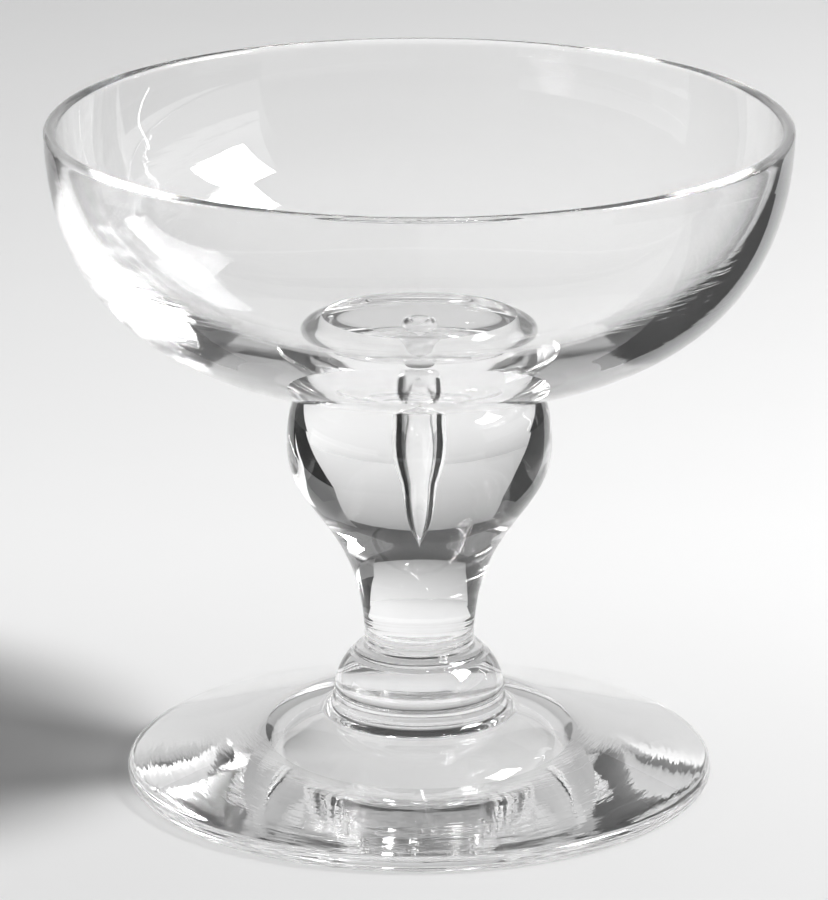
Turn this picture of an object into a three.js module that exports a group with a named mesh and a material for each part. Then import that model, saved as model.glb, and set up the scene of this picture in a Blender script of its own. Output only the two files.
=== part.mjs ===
// Sherbet glass: a broad, shallow bowl on a baluster stem that holds a long tear of air,
// over a low base knop and a sloping foot with a domed recess beneath.
// Each gather of glass is a solid of its own and meets the next on a flat fused seam.
// Millimetres, +Z up, origin at the centre of the plane that the foot rests on.

import * as THREE from 'three';

// Foot
const footRadius = 44.45;
const footEdgeRadius = 1.35; // rounding of the rim, half the rim's thickness
const crownHeight = 10.3; // level crown in the middle, where the knop is fused on
const crownLedge = 2.6; // width of level crown left showing round the knop
const crownEaseRadius = 20; // rounding between the crown and the slope
const restRingWidth = 3.1; // level ring that touches the table
const undersideRise = 0.6; // rise of the underside from that ring to the recess
const recessRadius = 22.3;
const recessDepth = 3.3;
const recessBrow = 7; // reach of the steep part of the dome at its edge
const recessBrowSlope = 24; // degrees

// Base knop
const knopHeight = 10.6;
const knopSeatRadius = 13.2; // seam with the foot
const knopWaistRadius = 12.85; // crease between the lower band and the shoulder
const knopBandHeight = 3.1;
const knopBandBulge = 0.3;
const knopShoulderRise = 3.4; // how far the shoulder climbs before it turns in
const knopNeckReach = 2.0; // flare into the neck, outwards and downwards
const knopNeckDrop = 1.1;

// Baluster stem
const stemLength = 41.7;
const neckRadius = 8.3; // seam with the knop
const balusterRadius = 19.95;
const balusterLift = 31.1; // height of the widest ring above the neck
const neckRise = 19; // how far the stem stays slender above the neck
const bellyDrop = 9.9; // fullness of the baluster below its widest ring
const bellyRise = 6.8; // and above it
const shoulderReach = 2.9; // turn of the shoulder into the bowl's seam
const shoulderDrop = 2.5;

// Tear of air in the stem, open at the stem's top and closed there by the bowl
const tearRadius = 3;
const tearLength = 21.4;
const tearMouthRadius = 1.6;
const tearBellyDepth = 7.6; // depth of its widest ring below the mouth
const tearShoulder = 3.2; // fullness above the widest ring
const tearBelly = 5; // and below it
const tearPoint = 4.5; // length and fullness of the point at its lower end
const tearPointRadius = 0.7;

// Bowl
const bowlHeight = 39;
const bowlRadius = 55.5; // outside, at the lip
const bowlSeamRadius = 15.6; // seam with the stem
const bowlFloor = 5; // glass at the middle of the floor
const lipThickness = 1.9;
const undersideReach = 23.7; // spread of the underside before it turns up
const undersideLift = 2.8;
const wallDrop = 24.7; // height over which the wall stands nearly upright
const wallLean = 0.6;
const floorSpread = 36; // spread of the floor inside before it turns up
const insideDrop = 23; // the inside leans more, so the wall thickens downwards
const insideLean = 1.8;

// Roundness of the facets
const facets = 60;
const curveSteps = 11;
const arcSteps = 5;

// Levels of the fused seams
const knopSeam = crownHeight;
const neckSeam = knopSeam + knopHeight;
const bowlSeam = neckSeam + stemLength;

const at = (radius, height) => new THREE.Vector2(radius, height);

// Cubic curve between two ends with a handle for each, without its first point
function curve(start, startHandle, endHandle, end, steps = curveSteps) {
  return new THREE.CubicBezierCurve(start, startHandle, endHandle, end).getPoints(steps).slice(1);
}

// Circular arc, angles measured from the outward direction
function arc(centre, radius, startAngle, endAngle, steps = arcSteps) {
  const round = new THREE.EllipseCurve(centre.x, centre.y, radius, radius, startAngle, endAngle);
  return round.getPoints(steps);
}

// A profile runs from the axis at the bottom, outwards and up, and back to the axis
function turned(name, profile) {
  const geometry = new THREE.LatheGeometry(profile, facets);
  geometry.rotateX(Math.PI / 2);
  const glass = new THREE.MeshStandardMaterial({
    color: 0xf3f7f5,
    roughness: 0.03,
    metalness: 0,
    transparent: true,
    opacity: 0.35,
  });
  const mesh = new THREE.Mesh(geometry, glass);
  mesh.name = name;
  return mesh;
}

function foot() {
  const edgeCentre = at(footRadius - footEdgeRadius, footEdgeRadius);
  const easeCentre = at(knopSeatRadius + crownLedge, crownHeight - crownEaseRadius);

  // The slope is the line that touches both the crown's easing and the rim's rounding
  const across = edgeCentre.clone().sub(easeCentre);
  const lean = Math.acos((crownEaseRadius - footEdgeRadius) / across.length());
  const slopeNormal = across.angle() + lean;

  const brow = THREE.MathUtils.degToRad(recessBrowSlope);
  const recessTop = at(0, undersideRise + recessDepth);
  const recessEdge = at(recessRadius, undersideRise);
  const browHandle = at(
    recessRadius - recessBrow * Math.cos(brow),
    undersideRise + recessBrow * Math.sin(brow),
  );
  const ringInside = at(edgeCentre.x - restRingWidth, 0);
  const sagHandle = at((recessEdge.x + ringInside.x) / 2, 0);
  const sag = new THREE.QuadraticBezierCurve(recessEdge, sagHandle, ringInside);

  return turned('foot', [
    recessTop,
    ...curve(recessTop, at(recessRadius / 2, recessTop.y), browHandle, recessEdge, arcSteps + 1),
    ...sag.getPoints(arcSteps - 1).slice(1),
    ...arc(edgeCentre, footEdgeRadius, -Math.PI / 2, slopeNormal, arcSteps + 1),
    ...arc(easeCentre, crownEaseRadius, slopeNormal, Math.PI / 2),
    at(0, crownHeight),
  ]);
}

function baseKnop() {
  const seat = at(knopSeatRadius, knopSeam);
  const waist = at(knopWaistRadius, knopSeam + knopBandHeight);
  const neck = at(neckRadius, neckSeam);
  const bandThird = knopBandHeight / 3;
  return turned('base_knop', [
    at(0, knopSeam),
    seat,
    ...curve(
      seat,
      at(knopSeatRadius + knopBandBulge, knopSeam + bandThird),
      at(knopWaistRadius + knopBandBulge, waist.y - bandThird),
      waist,
      arcSteps,
    ),
    ...curve(
      waist,
      at(knopWaistRadius, waist.y + knopShoulderRise),
      at(neckRadius + knopNeckReach, neckSeam - knopNeckDrop),
      neck,
      arcSteps + 1,
    ),
    at(0, neckSeam),
  ]);
}

function balusterStem() {
  const neck = at(neckRadius, neckSeam);
  const belly = at(balusterRadius, neckSeam + balusterLift);
  const shoulder = at(bowlSeamRadius, bowlSeam);
  const mouth = at(tearMouthRadius, bowlSeam);
  const tearBulge = at(tearRadius, bowlSeam - tearBellyDepth);
  const tearTip = at(0, bowlSeam - tearLength);
  return turned('baluster_stem', [
    at(0, neckSeam),
    neck,
    ...curve(neck, at(neckRadius, neckSeam + neckRise), at(balusterRadius, belly.y - bellyDrop), belly),
    ...curve(
      belly,
      at(balusterRadius, belly.y + bellyRise),
      at(bowlSeamRadius + shoulderReach, bowlSeam - shoulderDrop),
      shoulder,
      arcSteps + 1,
    ),
    mouth,
    ...curve(
      mouth,
      at(tearRadius, bowlSeam - tearShoulder / 2),
      at(tearRadius, tearBulge.y + tearShoulder),
      tearBulge,
      arcSteps,
    ),
    ...curve(
      tearBulge,
      at(tearRadius, tearBulge.y - tearBelly),
      at(tearPointRadius, tearTip.y + tearPoint),
      tearTip,
      arcSteps + 1,
    ),
  ]);
}

function bowl() {
  const lipCentre = at(bowlRadius - lipThickness / 2, bowlSeam + bowlHeight - lipThickness / 2);
  const seam = at(bowlSeamRadius, bowlSeam);
  const lipOutside = at(bowlRadius, lipCentre.y);
  const lipInside = at(bowlRadius - lipThickness, lipCentre.y);
  const floor = at(0, bowlSeam + bowlFloor);
  return turned('bowl', [
    at(0, bowlSeam),
    seam,
    ...curve(
      seam,
      at(bowlSeamRadius + undersideReach, bowlSeam + undersideLift),
      at(bowlRadius - wallLean, lipOutside.y - wallDrop),
      lipOutside,
    ),
    ...arc(lipCentre, lipThickness / 2, 0, Math.PI, arcSteps - 1).slice(1),
    ...curve(
      lipInside,
      at(lipInside.x - insideLean, lipInside.y - insideDrop),
      at(floorSpread, floor.y),
      floor,
    ),
  ]);
}

const sherbetGlass = new THREE.Group();
sherbetGlass.add(foot(), baseKnop(), balusterStem(), bowl());

export default sherbetGlass;
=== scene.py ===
import bpy
import math
import numpy as np
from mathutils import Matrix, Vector


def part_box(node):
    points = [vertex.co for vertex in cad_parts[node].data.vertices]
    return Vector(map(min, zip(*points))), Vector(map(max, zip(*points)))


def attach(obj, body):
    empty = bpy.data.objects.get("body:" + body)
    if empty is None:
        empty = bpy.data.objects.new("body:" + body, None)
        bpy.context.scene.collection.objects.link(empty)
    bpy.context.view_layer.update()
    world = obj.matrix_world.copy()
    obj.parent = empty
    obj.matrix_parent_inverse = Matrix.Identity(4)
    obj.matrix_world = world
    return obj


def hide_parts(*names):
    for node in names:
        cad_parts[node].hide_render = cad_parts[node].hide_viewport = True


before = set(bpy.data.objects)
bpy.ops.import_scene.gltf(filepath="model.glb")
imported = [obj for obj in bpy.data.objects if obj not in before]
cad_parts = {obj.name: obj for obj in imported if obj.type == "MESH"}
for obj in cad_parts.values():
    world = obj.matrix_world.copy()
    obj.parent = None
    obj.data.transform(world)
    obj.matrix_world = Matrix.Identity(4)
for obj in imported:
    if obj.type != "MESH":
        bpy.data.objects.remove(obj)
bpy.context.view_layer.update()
scene = bpy.context.scene
mm = 0.001
tau = 2 * math.pi

# levels and widths that the pieces share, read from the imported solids
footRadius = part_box("foot")[1].x
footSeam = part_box("foot")[1].z
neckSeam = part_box("base_knop")[1].z
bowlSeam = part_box("baluster_stem")[1].z
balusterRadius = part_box("baluster_stem")[1].x
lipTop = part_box("bowl")[1].z
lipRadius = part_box("bowl")[1].x
fused = {
    "knopRadius": 15.2 * mm,  # foot to knop, where the knop's cove runs out
    "neckRadius": 8.3 * mm,  # knop to stem
    "bowlRadius": 15.6 * mm,  # stem to bowl
    "tearMouth": 1.6 * mm,  # the tear's upper end, closed by the bowl's floor
}
print("frame loaded, seams at", [round(z / mm, 2) for z in (footSeam, neckSeam, bowlSeam)])


class Shade:
    # one socket of a node tree: arithmetic on it adds Math nodes, node() adds any other kind
    def __init__(self, tree, socket=None):
        self.tree = tree
        self.socket = socket

    def node(self, kind, settings=None, sockets=None, output=0):
        made = self.tree.nodes.new("ShaderNode" + kind)
        for name, value in (settings or {}).items():
            if name == "stops":  # a ramp's stops: position and grey level
                for element, (place, grey) in zip(made.color_ramp.elements, value):
                    element.position = place
                    element.color = (grey, grey, grey, 1)
            else:
                setattr(made, name, value)
        for name, value in (sockets or {}).items():
            if isinstance(value, Shade):
                self.tree.links.new(value.socket, made.inputs[name])
            else:
                made.inputs[name].default_value = value
        return Shade(self.tree, made.outputs[output] if made.outputs else None)

    def math(self, operation, first, second=0.0):
        return self.node("Math", {"operation": operation}, {0: first, 1: second})

    def __add__(self, other):
        return self.math("ADD", self, other)

    def __sub__(self, other):
        return self.math("SUBTRACT", self, other)

    def __rsub__(self, other):
        return self.math("SUBTRACT", other, self)

    def __mul__(self, other):
        return self.math("MULTIPLY", self, other)

    def __pow__(self, other):
        return self.math("POWER", self, other)

    def __rpow__(self, other):
        return self.math("POWER", other, self)

    def __abs__(self):
        return self.math("ABSOLUTE", self)

    __radd__ = __add__
    __rmul__ = __mul__


def emptyTree(owner):
    owner.use_nodes = True
    owner.node_tree.nodes.clear()
    return Shade(owner.node_tree)


# one coordinate of a place
def along(place, axis):
    return place.node("SeparateXYZ", sockets={0: place}, output=axis)


# a value's way from low to high, carried over to the way from first to last and held at both ends
def eased(value, low, high, first=0.0, last=1.0, smooth=False):
    kind = "SMOOTHSTEP" if smooth else "LINEAR"
    return value.node("MapRange", {"interpolation_type": kind}, {
        "Value": value, "From Min": low, "From Max": high, "To Min": first, "To Max": last})


# cloudy noise between 0 and 1
def clouds(place, scale, detail, roughness=0.5):
    return place.node("TexNoise", sockets={
        "Vector": place, "Scale": scale, "Detail": detail, "Roughness": roughness}, output="Fac")


# hot-worked glass: clear body, faint tooling ripple, a trace of handling haze
def glassMaterial(name, look):
    material = bpy.data.materials.new(name)
    tree = emptyTree(material)
    place = tree.node("TexCoord", output="Object")
    x, y, z = (along(place, axis) for axis in "XYZ")
    radius = (x * x + y * y) ** 0.5
    # ripples run round the axis: fine along the wall, slow round it
    swirl = tree.node("CombineXYZ", sockets={
        "X": x * look["roundScale"], "Y": y * look["roundScale"],
        "Z": radius * look["acrossScale"] + z * look["upScale"]})
    ripple = clouds(swirl, 1.0, look["rippleDetail"], look["rippleRoughness"])
    side = abs(x) if look["calmFront"] else radius
    rippled = eased(side, look["calmTo"], look["rippledFrom"], smooth=True)
    rippled = rippled * (1 - eased(z, look["rippledBelow"], look["calmAbove"], smooth=True))
    swell = clouds(place, look["swellScale"], look["swellDetail"])
    height = ripple * rippled * look["rippleHeight"] + swell * look["swellHeight"]
    normal = tree.node("Bump", sockets={"Strength": 1.0, "Distance": mm, "Height": height})
    haze = clouds(place, look["hazeScale"], look["hazeDetail"])
    roughness = haze ** look["hazePower"] * look["haze"]
    body = tree.node("BsdfPrincipled", sockets={
        "Base Color": look["tint"], "Roughness": roughness, "IOR": look["ior"],
        "Transmission Weight": 1.0, "Normal": normal})
    # light that passes to the table: less where it meets the glass at a slant
    clear = tree.node("BsdfTransparent", sockets={"Color": look["shadow"]})
    slanted = tree.node("BsdfTransparent", sockets={"Color": look["slantShadow"]})
    facing = tree.node("LayerWeight", sockets={"Blend": look["slantBlend"]}, output="Facing")
    passing = tree.node("MixShader", sockets={0: facing, 1: clear, 2: slanted})
    shadowRay = tree.node("LightPath", output="Is Shadow Ray")
    shown = tree.node("MixShader", sockets={0: shadowRay, 1: body, 2: passing})
    tree.node("OutputMaterial", sockets={"Surface": shown})
    return material


glassLook = {
    "tint": (1.0, 1.0, 1.0, 1.0),
    "ior": 1.52,
    "shadow": (0.8, 0.8, 0.8, 1.0),  # light let through to the table, face on and at a slant
    "slantShadow": (0.2, 0.2, 0.2, 1.0),
    "slantBlend": 0.5,
    "haze": 0.02,  # roughness where the haze is thickest
    "hazeScale": 160.0,
    "hazeDetail": 4.0,
    "hazePower": 4,  # gathers the haze into a few thin patches
    "roundScale": 60.0,
    "acrossScale": 0.0,
    "upScale": 700.0,
    "rippleHeight": 0.006,  # in millimetres, as the swell is
    "rippleDetail": 3.0,
    "rippleRoughness": 0.6,
    "calmFront": False,  # ripple fades towards the axis, or towards the front and back
    "calmTo": -0.1 * mm,  # under any radius: a piece is rippled all over unless it says otherwise
    "rippledFrom": 0.0,
    "rippledBelow": lipTop,
    "calmAbove": 2 * lipTop,
    "swellScale": 45.0,
    "swellHeight": 0.05,
    "swellDetail": 1.0,
}
# the foot and the knop let nearly all of the light through
clearShadow = {"shadow": (1.0, 1.0, 1.0, 1.0), "slantShadow": (0.85, 0.85, 0.85, 1.0)}

# where two gathers are fused there is no surface to see
seamMaterial = bpy.data.materials.new("fusedSeam")
seamTree = emptyTree(seamMaterial)
seamShade = seamTree.node("BsdfPrincipled", sockets={"Base Color": glassLook["tint"], "Alpha": 0.0})
seamTree.node("OutputMaterial", sockets={"Surface": seamShade})
print("glass ready")


# straight stretch of a profile: start plus an even share of the way to the end
def line(start, end, steps=1):
    return np.linspace(start, end, steps + 1)


# circular arc: centre plus radius times cosine and sine of the angle
def arc(centre, radius, startAngle, endAngle, steps):
    angle = np.linspace(startAngle, endAngle, steps + 1)
    return np.array(centre) + radius * np.stack([np.cos(angle), np.sin(angle)], -1)


# cubic curve: four points weighted by (1-t)^3, 3t(1-t)^2, 3t^2(1-t) and t^3
# an ease above 1 sets its points closer together at the start
def bezier(start, startHandle, endHandle, end, steps, ease=1.0):
    t = np.linspace(0, 1, steps + 1)[:, None] ** ease
    points = [np.array(point) for point in (start, startHandle, endHandle, end)]
    weights = [(1 - t) ** 3, 3 * t * (1 - t) ** 2, 3 * t ** 2 * (1 - t), t ** 3]
    return sum(weight * point for weight, point in zip(weights, points))


# sagging curve with one handle, as a cubic whose handles go two thirds of the way to it from each end
def sagging(start, handle, end, steps):
    start, handle, end = np.array(start), np.array(handle), np.array(end)
    return bezier(start, start + (handle - start) * 2 / 3, end + (handle - end) * 2 / 3, end, steps)


grooves = {
    "levels": neckSeam + np.array([-1.4, -0.3, 1.0, 2.1]) * mm,
    "width": 0.28 * mm,
    "depth": 0.13 * mm,
}


# fine tooling grooves round the neck: radius less a bell curve at each level
def grooved(points):
    points = np.array(points)
    bells = np.exp(-((points[..., 1:] - grooves["levels"]) / grooves["width"]) ** 2)
    points[..., 0] -= grooves["depth"] * bells.sum(-1)
    return points


# surface of revolution: x = r(s) cos a, y = r(s) sin a, z = z(s), s along the profile, a round the axis
# stretches hold (points, fused or not) from the axis at the bottom, out and up, and back to the axis
def turnedPiece(name, node, stretches, material, around=224):
    points = np.vstack([stretches[0][0][:1]] + [stretch[1:] for stretch, _ in stretches])
    isSeam = np.concatenate([np.full(len(stretch) - 1, seam) for stretch, seam in stretches])
    creases = np.cumsum([len(stretch) - 1 for stretch, _ in stretches])[:-1]
    angle = np.linspace(0, tau, around, endpoint=False)
    radius, height = points[1:-1, :1], points[1:-1, 1:]
    grid = np.stack(np.broadcast_arrays(radius * np.cos(angle), radius * np.sin(angle), height), -1)
    poles = np.array([[0, 0, points[0, 1]], [0, 0, points[-1, 1]]])
    vertices = np.vstack([poles[:1], grid.reshape(-1, 3), poles[1:]])
    # quads between neighbouring rings, and a fan of triangles at each pole
    rings = len(grid)
    here = np.arange(around)
    beside = (here + 1) % around
    start = 1 + around * np.arange(rings - 1)[:, None]
    quads = np.stack([start + here, start + beside, start + around + beside, start + around + here], -1)
    lastRing = 1 + around * (rings - 1)
    bottom = np.stack([np.zeros(around, int), 1 + beside, 1 + here], -1)
    top = np.stack([np.full(around, len(vertices) - 1), lastRing + here, lastRing + beside], -1)
    mesh = bpy.data.meshes.new(name)
    faces = bottom.tolist() + quads.reshape(-1, 4).tolist() + top.tolist()
    mesh.from_pydata(vertices.tolist(), [], faces)
    mesh.materials.append(material)
    mesh.materials.append(seamMaterial)
    mesh.polygons.foreach_set("material_index", np.repeat(isSeam, around).astype(np.int32))
    mesh.shade_smooth()
    # edges along a crease ring stay sharp
    ends = np.empty(len(mesh.edges) * 2, np.int32)
    mesh.edges.foreach_get("vertices", ends)
    ring = (ends.reshape(-1, 2) - 1) // around
    sharp = (ring[:, 0] == ring[:, 1]) & np.isin(ring[:, 0], creases - 1)
    mesh.attributes.new("sharp_edge", "BOOLEAN", "EDGE").data.foreach_set("value", sharp)
    piece = bpy.data.objects.new(name, mesh)
    scene.collection.objects.link(piece)
    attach(piece, "root")
    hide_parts(node)
    print(name, "turned,", len(faces), "faces")


footLook = {
    "edgeRadius": 1.35 * mm,
    "crownLedge": 0.6 * mm,
    "crownEase": 20 * mm,
    "restRing": 3.1 * mm,
    "undersideRise": 1.6 * mm,
    "recessRadius": 21.9 * mm,
    "recessDepth": 3.8 * mm,
    "brow": 6 * mm,  # reach of the recess's steep edge
    "browSlope": math.radians(40),
    "steps": {"recess": 50, "underside": 30, "ring": 6, "edge": 24, "slope": 60, "crown": 24, "ledge": 4},
    "glass": {"upScale": 0.0, "acrossScale": 500.0, "roundScale": 50.0, "rippleHeight": 0.02,
              "calmTo": 20 * mm, "rippledFrom": 30 * mm},
}


# foot's profile: domed recess, sagging underside, level ring, round edge, straight slope, eased crown
def makeFoot(look):
    steps = look["steps"]
    edge = np.array([footRadius - look["edgeRadius"], look["edgeRadius"]])
    ease = np.array([fused["knopRadius"] + look["crownLedge"], footSeam - look["crownEase"]])
    # the slope touches the crown's easing and the edge's rounding
    across = edge - ease
    lean = math.acos((look["crownEase"] - look["edgeRadius"]) / np.hypot(*across))
    slope = math.atan2(across[1], across[0]) + lean
    slopeTurn = np.array([math.cos(slope), math.sin(slope)])
    slopeFoot = edge + look["edgeRadius"] * slopeTurn
    slopeTop = ease + look["crownEase"] * slopeTurn
    recessTop = (0, look["undersideRise"] + look["recessDepth"])
    recessEdge = (look["recessRadius"], look["undersideRise"])
    domeHandle = (look["recessRadius"] / 2, recessTop[1])
    browHandle = (look["recessRadius"] - look["brow"] * math.cos(look["browSlope"]),
                  look["undersideRise"] + look["brow"] * math.sin(look["browSlope"]))
    ringInside = (edge[0] - look["restRing"], 0)
    sagHandle = ((recessEdge[0] + ringInside[0]) / 2, 0)
    knopEdge = (fused["knopRadius"], footSeam)
    outside = np.vstack([
        line(ringInside, (edge[0], 0), steps["ring"]),
        arc(edge, look["edgeRadius"], -math.pi / 2, slope, steps["edge"])[1:],
        line(slopeFoot, slopeTop, steps["slope"])[1:],
        arc(ease, look["crownEase"], slope, math.pi / 2, steps["crown"])[1:],
        line((ease[0], footSeam), knopEdge, steps["ledge"])[1:],
    ])
    stretches = [
        (bezier(recessTop, domeHandle, browHandle, recessEdge, steps["recess"]), False),
        (sagging(recessEdge, sagHandle, ringInside, steps["underside"]), False),
        (outside, False),
        (line(knopEdge, (0, footSeam)), True),
    ]
    glass = glassMaterial("footGlass", glassLook | clearShadow | look["glass"])
    turnedPiece("slopingFoot", "foot", stretches, glass)


knopLook = {
    "waistRadius": 12.85 * mm,
    "bandHeight": 3.1 * mm,
    "bandBulge": 0.3 * mm,
    "coveReach": 1.4 * mm,  # the band runs out into the foot
    "shoulderRise": 3.4 * mm,
    "neckReach": 2.0 * mm,
    "neckDrop": 1.1 * mm,
    "steps": {"band": 30, "shoulder": 90},
}


# knop's profile: coved band up to the waist, then a round shoulder that flares into the grooved neck
def makeKnop(look):
    steps = look["steps"]
    seat = (fused["knopRadius"], footSeam)
    waist = (look["waistRadius"], footSeam + look["bandHeight"])
    neck = (fused["neckRadius"], neckSeam)
    band = bezier(seat, (seat[0] - look["coveReach"], footSeam),
                  (waist[0] + look["bandBulge"], footSeam + look["bandHeight"] / 3), waist, steps["band"])
    shoulder = bezier(waist, (waist[0], waist[1] + look["shoulderRise"]),
                      (neck[0] + look["neckReach"], neckSeam - look["neckDrop"]), neck, steps["shoulder"])
    stretches = [
        (line((0, footSeam), seat), True),
        (grooved(np.vstack([band, shoulder[1:]])), False),
        (grooved(line(neck, (0, neckSeam))), True),
    ]
    glass = glassMaterial("knopGlass", glassLook | clearShadow)
    turnedPiece("collarKnop", "base_knop", stretches, glass)


stemLook = {
    "bellyLevel": neckSeam + 31.1 * mm,
    "neckRise": 19 * mm,
    "bellyDrop": 9.9 * mm,
    "bellyRise": 6.8 * mm,
    "shoulderReach": 2.9 * mm,
    "shoulderDrop": 2.5 * mm,
    "tearRadius": 3.0 * mm,
    "tearLength": 21.4 * mm,
    "tearBelly": 7.6 * mm,  # below the mouth
    "tearShoulder": 3.2 * mm,
    "tearDrop": 5 * mm,
    "tearPoint": 4.5 * mm,
    "tearPointRadius": 0.7 * mm,
    "steps": {"wall": 140, "shoulder": 50, "tearTop": 30, "tearPoint": 60},
    "neckEase": 1.6,  # closer rings at the neck, for its grooves
}


# stem's profile: slender grooved neck swelling to the ball, a turned-in shoulder, then down the tear inside
def makeStem(look):
    steps = look["steps"]
    neck = (fused["neckRadius"], neckSeam)
    belly = (balusterRadius, look["bellyLevel"])
    shoulder = (fused["bowlRadius"], bowlSeam)
    mouth = (fused["tearMouth"], bowlSeam)
    bulge = (look["tearRadius"], bowlSeam - look["tearBelly"])
    tip = (0, bowlSeam - look["tearLength"])
    wall = np.vstack([
        bezier(neck, (neck[0], neckSeam + look["neckRise"]),
               (belly[0], belly[1] - look["bellyDrop"]), belly, steps["wall"], look["neckEase"]),
        bezier(belly, (belly[0], belly[1] + look["bellyRise"]),
               (shoulder[0] + look["shoulderReach"], bowlSeam - look["shoulderDrop"]),
               shoulder, steps["shoulder"])[1:],
    ])
    tear = np.vstack([
        bezier(mouth, (bulge[0], bowlSeam - look["tearShoulder"] / 2),
               (bulge[0], bulge[1] + look["tearShoulder"]), bulge, steps["tearTop"]),
        bezier(bulge, (bulge[0], bulge[1] - look["tearDrop"]),
               (look["tearPointRadius"], tip[1] + look["tearPoint"]), tip, steps["tearPoint"])[1:],
    ])
    stretches = [
        (line((0, neckSeam), grooved(neck)), True),
        (grooved(wall), False),
        (line(shoulder, mouth), True),
        (tear, False),
    ]
    turnedPiece("tearStem", "baluster_stem", stretches, glassMaterial("stemGlass", glassLook))


bowlLook = {
    "floor": 5.0 * mm,
    "lip": 1.9 * mm,
    "undersideReach": 23.7 * mm,
    "undersideLift": 2.8 * mm,
    "wallDrop": 24.7 * mm,
    "wallLean": 0.6 * mm,
    "floorSpread": 36 * mm,
    "insideDrop": 23 * mm,
    "insideLean": 1.8 * mm,
    "steps": {"wall": 90, "lip": 20, "hollow": 90},
    "glass": {"acrossScale": 300.0, "roundScale": 25.0, "rippleHeight": 0.05,
              "calmFront": True, "calmTo": 20 * mm, "rippledFrom": 46 * mm,
              "rippledBelow": lipTop - 22 * mm, "calmAbove": lipTop - 8 * mm},
}


# bowl's profile: underside and wall in one curve, half-round lip, hollow back down to the floor
def makeBowl(look):
    steps = look["steps"]
    mouth = (fused["tearMouth"], bowlSeam)
    seam = (fused["bowlRadius"], bowlSeam)
    lipHalf = look["lip"] / 2
    lip = (lipRadius - lipHalf, lipTop - lipHalf)
    outside = (lipRadius, lip[1])
    inside = (lipRadius - look["lip"], lip[1])
    floor = (0, bowlSeam + look["floor"])
    wall = bezier(seam, (seam[0] + look["undersideReach"], bowlSeam + look["undersideLift"]),
                  (outside[0] - look["wallLean"], outside[1] - look["wallDrop"]), outside, steps["wall"])
    hollow = bezier(inside, (inside[0] - look["insideLean"], inside[1] - look["insideDrop"]),
                    (look["floorSpread"], floor[1]), floor, steps["hollow"])
    stretches = [
        (line((0, bowlSeam), mouth), False),
        (line(mouth, seam), True),
        (np.vstack([wall, arc(lip, lipHalf, 0, math.pi, steps["lip"])[1:], hollow[1:]]), False),
    ]
    turnedPiece("shallowBowl", "bowl", stretches, glassMaterial("bowlGlass", glassLook | look["glass"]))


makeFoot(footLook)
makeKnop(knopLook)
makeStem(stemLook)
makeBowl(bowlLook)

paperLook = {"mottle": 0.02, "mottleScale": 25.0, "mottleDetail": 3.0, "roughness": 0.9, "specular": 0.1}


# stage paper: a grey tone with faint mottling, and a painted glow; lengths in the stage's looks are in
# millimetres
# a fade gives painted shade instead: a tone that changes along the depth, and it brings in a painted glow
# far out
# dusk dims a glow upwards and to the left
def stageMaterial(name, look):
    material = bpy.data.materials.new(name)
    tree = emptyTree(material)
    place = tree.node("TexCoord", output="Object")
    mottle = clouds(place, paperLook["mottleScale"], paperLook["mottleDetail"])
    grey = mottle * paperLook["mottle"] + (1 - paperLook["mottle"] / 2)
    shine = (1, 1, 1, 1)
    if "fade" in look:
        fade = look["fade"]
        depth = along(place, "Y")
        nearToFar = (fade["nearAt"] * mm, fade["farAt"] * mm, fade["near"], fade["far"])
        grey = grey * eased(depth, *nearToFar, smooth=True)
        grey = grey * eased(depth, fade["farAt"] * mm, fade["backAt"] * mm, 1.0, fade["back"])
        away = tree.node("VectorMath", {"operation": "LENGTH"}, {0: place}, output="Value")
        shine = eased(away, fade["glowFrom"] * mm, fade["glowTo"] * mm)
    else:
        grey = grey * look.get("tone", 0.0)
    if "dusk" in look:
        dusk = look["dusk"]
        shine = eased(along(place, "Z"), 0.0, dusk["height"] * mm, 1.0, dusk["high"])
        shine = shine * eased(along(place, "X"), -dusk["reach"] * mm, dusk["reach"] * mm, dusk["left"], 1.0)
    colour = tree.node("CombineColor", sockets={"Red": grey, "Green": grey, "Blue": grey})
    surface = tree.node("BsdfPrincipled", sockets={
        "Base Color": colour, "Roughness": paperLook["roughness"],
        "Specular IOR Level": paperLook["specular"],
        "Emission Color": shine, "Emission Strength": look.get("glow", 0.0)})
    tree.node("OutputMaterial", sockets={"Surface": surface})
    return material


# sector about the axis: x = r sin a, y = r cos a, with radius r and height given at each of its levels
# azimuth a is counted from the back, clockwise seen from above, and may differ from level to level
def sector(name, look, material, around=48):
    share = np.linspace(0, 1, around + 1)[:, None]
    turn = np.radians((1 - share) * np.array(look["start"]) + share * np.array(look["end"]))
    reach = np.array(look["radius"]) * mm
    level = np.array(look["height"]) * mm
    points = np.stack(np.broadcast_arrays(reach * np.sin(turn), reach * np.cos(turn), level), -1)
    levels = points.shape[1]
    first = levels * np.arange(around)[:, None] + np.arange(levels - 1)
    faces = np.stack([first, first + 1, first + levels + 1, first + levels], -1).reshape(-1, 4)
    mesh = bpy.data.meshes.new(name)
    mesh.from_pydata(points.reshape(-1, 3).tolist(), [], faces.tolist())
    mesh.materials.append(material)
    card = bpy.data.objects.new(name, mesh)
    scene.collection.objects.link(card)
    return card


# the table's tone is painted darker at the front and far back, as painted shade, and a painted glow makes
# it pale towards the horizon
tableLook = {
    "start": 0, "end": 360, "radius": (0, 6000), "height": -0.1, "glow": 0.7,
    "fade": {"near": 0.77, "nearAt": -80, "far": 0.92, "farAt": 120, "back": 0.82, "backAt": 540,
             "glowFrom": 700, "glowTo": 2600},
}
sector("table", tableLook, stageMaterial("tableSheet", tableLook), around=96)
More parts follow.
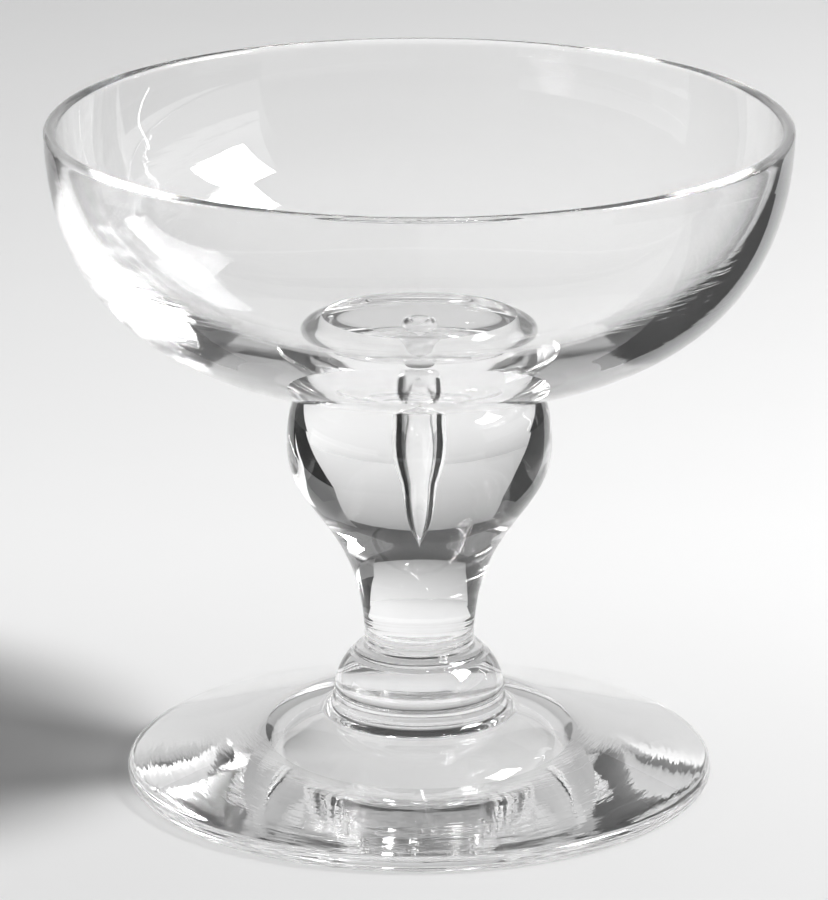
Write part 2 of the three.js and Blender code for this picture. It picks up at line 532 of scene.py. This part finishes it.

# cards hidden from the camera, which show in the glass and give its edges dark and bright bands: painted
# shade and painted reflections
onTable = 0.3  # clear of the table's sheet
stripBend = np.array([74, 70, 67.5, 66, 66, 67, 68, 68.5, 68])  # azimuths of a thin bent strip, upwards
stripWidth = 0.8
cards = {
    "backSheet": {"start": -46, "end": 48, "radius": 600, "height": (onTable, 330), "glow": 0.93,
                  "dusk": {"height": 330, "high": 0.42, "reach": 400, "left": 0.66}},
    "backRoom": {"start": -62, "end": 62, "radius": 610, "height": (330, 640), "glow": 0.06},
    "leftScreen": {"start": -75, "end": (-44, -37, -30, -26), "radius": 310,
                   "height": (onTable, 50, 120, 330), "tone": 0.05},
    "leftHanging": {"start": -145, "end": -75, "radius": 310, "height": (78, 330), "tone": 0.05},
    "rightScreen": {"start": (46, 38, 30), "end": (60, 56, 53), "radius": 310,
                    "height": (onTable, 50, 100), "tone": 0.06},
    "rightPanel": {"start": (30, 27), "end": (53, 50), "radius": 311, "height": (100, 230), "tone": 0.42},
    "windowPane": {"start": 83, "end": 111, "radius": 900, "height": (590, 1110), "glow": 33.0},
    "rightStrip": {"start": stripBend, "end": stripBend + stripWidth, "radius": 300,
                   "height": (60, 72, 84, 96, 108, 120, 132, 146, 160), "glow": 18.0},
    "rightSkirting": {"start": 58, "end": 124, "radius": 312, "height": (onTable, 100), "tone": 0.04},
    "frontScreen": {"start": 122, "end": 215, "radius": 310, "height": (45, 330), "tone": 0.12},
    # floor cards paint the table dark where the glass sees it, with painted shade deeper at the front left
    "rightFloor": {"start": (68, 56, 44), "end": 95, "radius": (58, 120, 310), "height": onTable,
                   "tone": 0.04},
    "leftFloor": {"start": -95, "end": (-68, -58, -42), "radius": (58, 120, 310), "height": onTable,
                  "tone": 0.04},
    "rightFrontFloor": {"start": 95, "end": 180, "radius": (90, 600), "height": onTable, "tone": 0.52},
    "leftFrontFloor": {"start": -180, "end": -95, "radius": (90, 600), "height": onTable, "tone": 0.32},
    # underFoot glows in place of the light the glass would gather on the table beneath it: a painted pool
    # of light
    "underFoot": {"start": 0, "end": 360, "radius": (21.5, 43), "height": -0.05, "glow": 0.76},
}
for name, look in cards.items():
    card = sector(name, look, stageMaterial(name + "Paper", look))
    card.visible_camera = card.visible_diffuse = card.visible_shadow = False

# lamps: lengths in metres, azimuth and rise in degrees
lamps = {
    "window": {"kind": "AREA", "azimuth": 97, "rise": 38, "away": 2.0, "size": 0.335, "power": 57},
    "ceiling": {"kind": "SUN", "azimuth": 0, "rise": 90, "away": 2.0, "size": 2.0, "power": 0.52},
}
lampAim = Vector((0, 0, 50 * mm))
for name, look in lamps.items():
    azimuth = math.radians(look["azimuth"])
    rise = math.radians(look["rise"])
    flat = math.cos(rise)
    toward = Vector((math.sin(azimuth) * flat, math.cos(azimuth) * flat, math.sin(rise)))
    light = bpy.data.lights.new(name, look["kind"])
    if look["kind"] == "SUN":
        light.angle = look["size"]  # spread of the light, in radians
        light.use_shadow = False
    else:
        light.shape = "SQUARE"
        light.size = look["size"]
    light.energy = look["power"]
    lamp = bpy.data.objects.new(name, light)
    lamp.location = lampAim + toward * look["away"]
    lamp.rotation_euler = (-toward).to_track_quat("-Z", "Y").to_euler()
    lamp.visible_glossy = lamp.visible_transmission = False  # the glass shows the window's pane instead
    scene.collection.objects.link(lamp)

# room: pale at the horizon, darker overhead; it shows to the camera, in gloss and through glass
roomLook = {"stops": [(0.38, 0.8), (0.52, 0.1)]}
room = bpy.data.worlds.new("room")
scene.world = room
roomTree = emptyTree(room)
outward = roomTree.node("TexCoord", output="Generated")
shade = roomTree.node("ValToRGB", roomLook, {"Fac": along(outward, "Z")})
seen = sum(roomTree.node("LightPath", output=f"Is {kind} Ray")
           for kind in ("Camera", "Glossy", "Transmission"))
glow = roomTree.node("Background", sockets={"Color": shade, "Strength": seen})
roomTree.node("OutputWorld", sockets={"Surface": glow})
print("stage set,", len(cards), "cards,", len(lamps), "lamps")

cameraLook = {
    "aim": 50.961 * mm,  # height on the axis that the view is centred on
    "aside": -0.8 * mm,
    "away": 876.06 * mm,
    "tilt": math.radians(17.195),
    "lens": 233.36,
    "sensor": 36.0,
}
cameraData = bpy.data.cameras.new("camera")
cameraData.sensor_width = cameraLook["sensor"]
cameraData.lens = cameraLook["lens"]
camera = bpy.data.objects.new("camera", cameraData)
camera.location = (cameraLook["aside"], -cameraLook["away"] * math.cos(cameraLook["tilt"]),
                   cameraLook["aim"] + cameraLook["away"] * math.sin(cameraLook["tilt"]))
camera.rotation_euler = (math.pi / 2 - cameraLook["tilt"], 0, 0)
scene.collection.objects.link(camera)
scene.camera = camera

# light is followed through many faces of glass, and its bright spots aren't clamped
glassDepth = 160
shadowDepth = 24
scene.view_settings.view_transform = "Standard"
scene.cycles.caustics_reflective = False
scene.cycles.caustics_refractive = False
scene.cycles.max_bounces = glassDepth
scene.cycles.transmission_bounces = glassDepth
scene.cycles.glossy_bounces = glassDepth
scene.cycles.transparent_max_bounces = shadowDepth
scene.cycles.sample_clamp_indirect = 0.0
print("camera placed")
